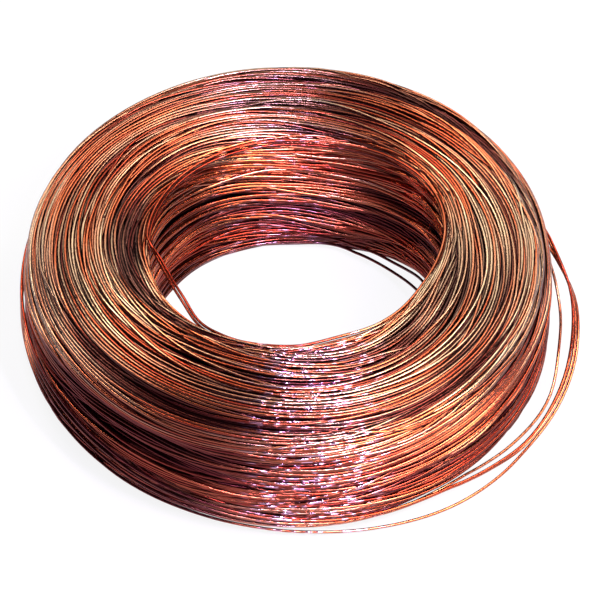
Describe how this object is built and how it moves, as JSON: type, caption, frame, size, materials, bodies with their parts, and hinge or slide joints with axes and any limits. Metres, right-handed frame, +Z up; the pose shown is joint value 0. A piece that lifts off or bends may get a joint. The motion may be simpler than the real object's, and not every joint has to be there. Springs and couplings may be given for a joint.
{
  "type": "coil of copper wire",
  "caption": "Coil of bare bright copper wire wound without a reel, lying flat round an open bore, with slack turns hanging off the outside and in the bore.",
  "frame": {"origin": "on the coil's axis, at the face that it lies on", "axes": "+Z up along the coil's axis, +X towards the side where the outer slack turns stand off, -Y towards the front"},
  "size_m": [0.2991, 0.2834, 0.0915],
  "materials": {
    "bare_copper": "bare drawn copper, bright on the turns that catch the light and dark red-brown between them"
  },
  "bodies": {
    "root": {"coil": "bare_copper", "outer_slack_turns": "bare_copper", "inner_slack_turns": "bare_copper"}
  },
  "joints": []
}
